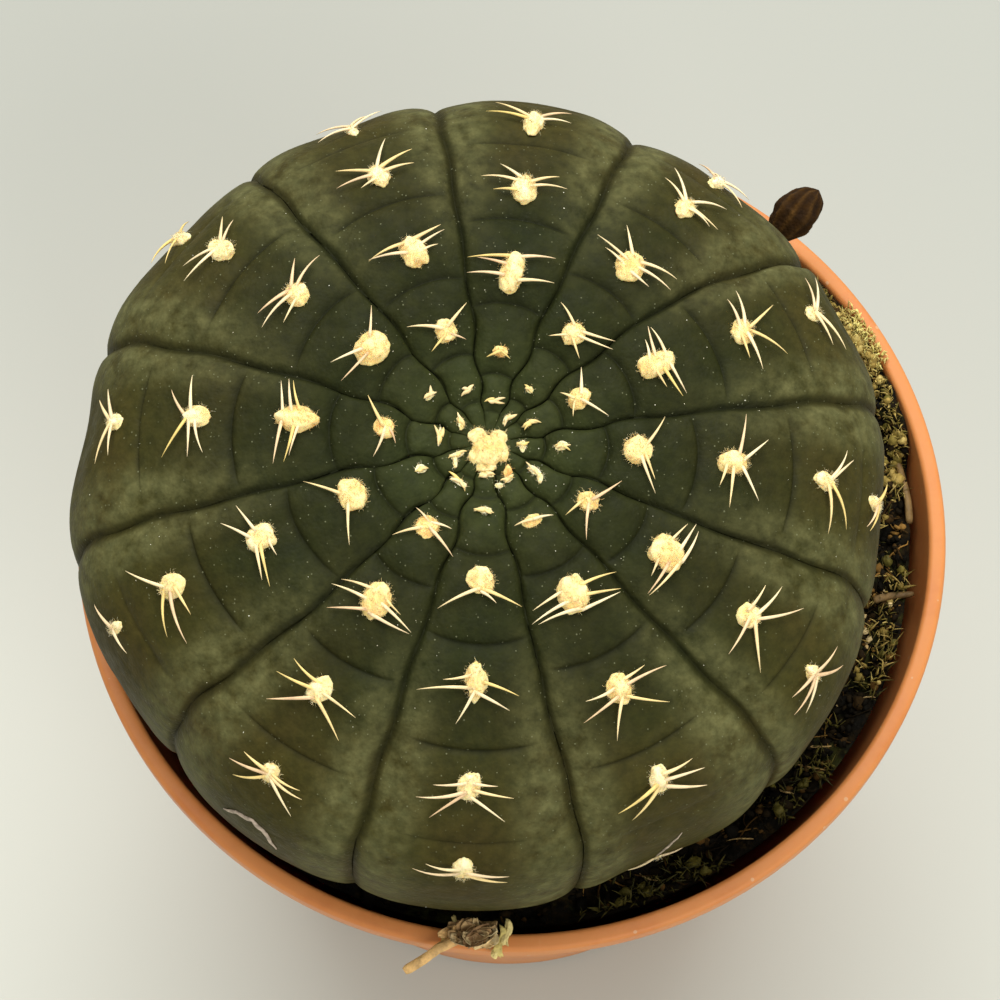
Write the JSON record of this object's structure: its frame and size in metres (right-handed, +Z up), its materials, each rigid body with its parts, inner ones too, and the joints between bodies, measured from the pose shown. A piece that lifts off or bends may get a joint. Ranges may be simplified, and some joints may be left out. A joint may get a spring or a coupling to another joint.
{
  "type": "potted gymnocalycium ragonesei",
  "caption": "Flattened ribbed cactus with woolly areoles and short pale spines, growing in soil in a small round plastic pot.",
  "frame": {"origin": "centre of the pot's flat base, on the surface that it stands on", "axes": "+Z up along the pot's axis; -Y is the side towards the viewer of the picture"},
  "size_m": [0.0602, 0.0618, 0.0737],
  "materials": {
    "pot_plastic": "satin terracotta-orange plastic, slightly scuffed",
    "potting_soil": "damp dark peat with grit and moss",
    "cactus_skin": "matt dark olive-green skin with a fine grain; areoles and spines cream",
    "dried_bud": "dry dark brown husk",
    "withered_flower": "papery brown remnant with a pale stalk",
    "straw": "dry pale straw"
  },
  "bodies": {
    "root": {"pot": "pot_plastic", "soil": "potting_soil", "cactus": "cactus_skin", "dried_bud": "dried_bud", "withered_flower": "withered_flower", "straw_1": "straw", "straw_2": "straw"}
  },
  "joints": []
}
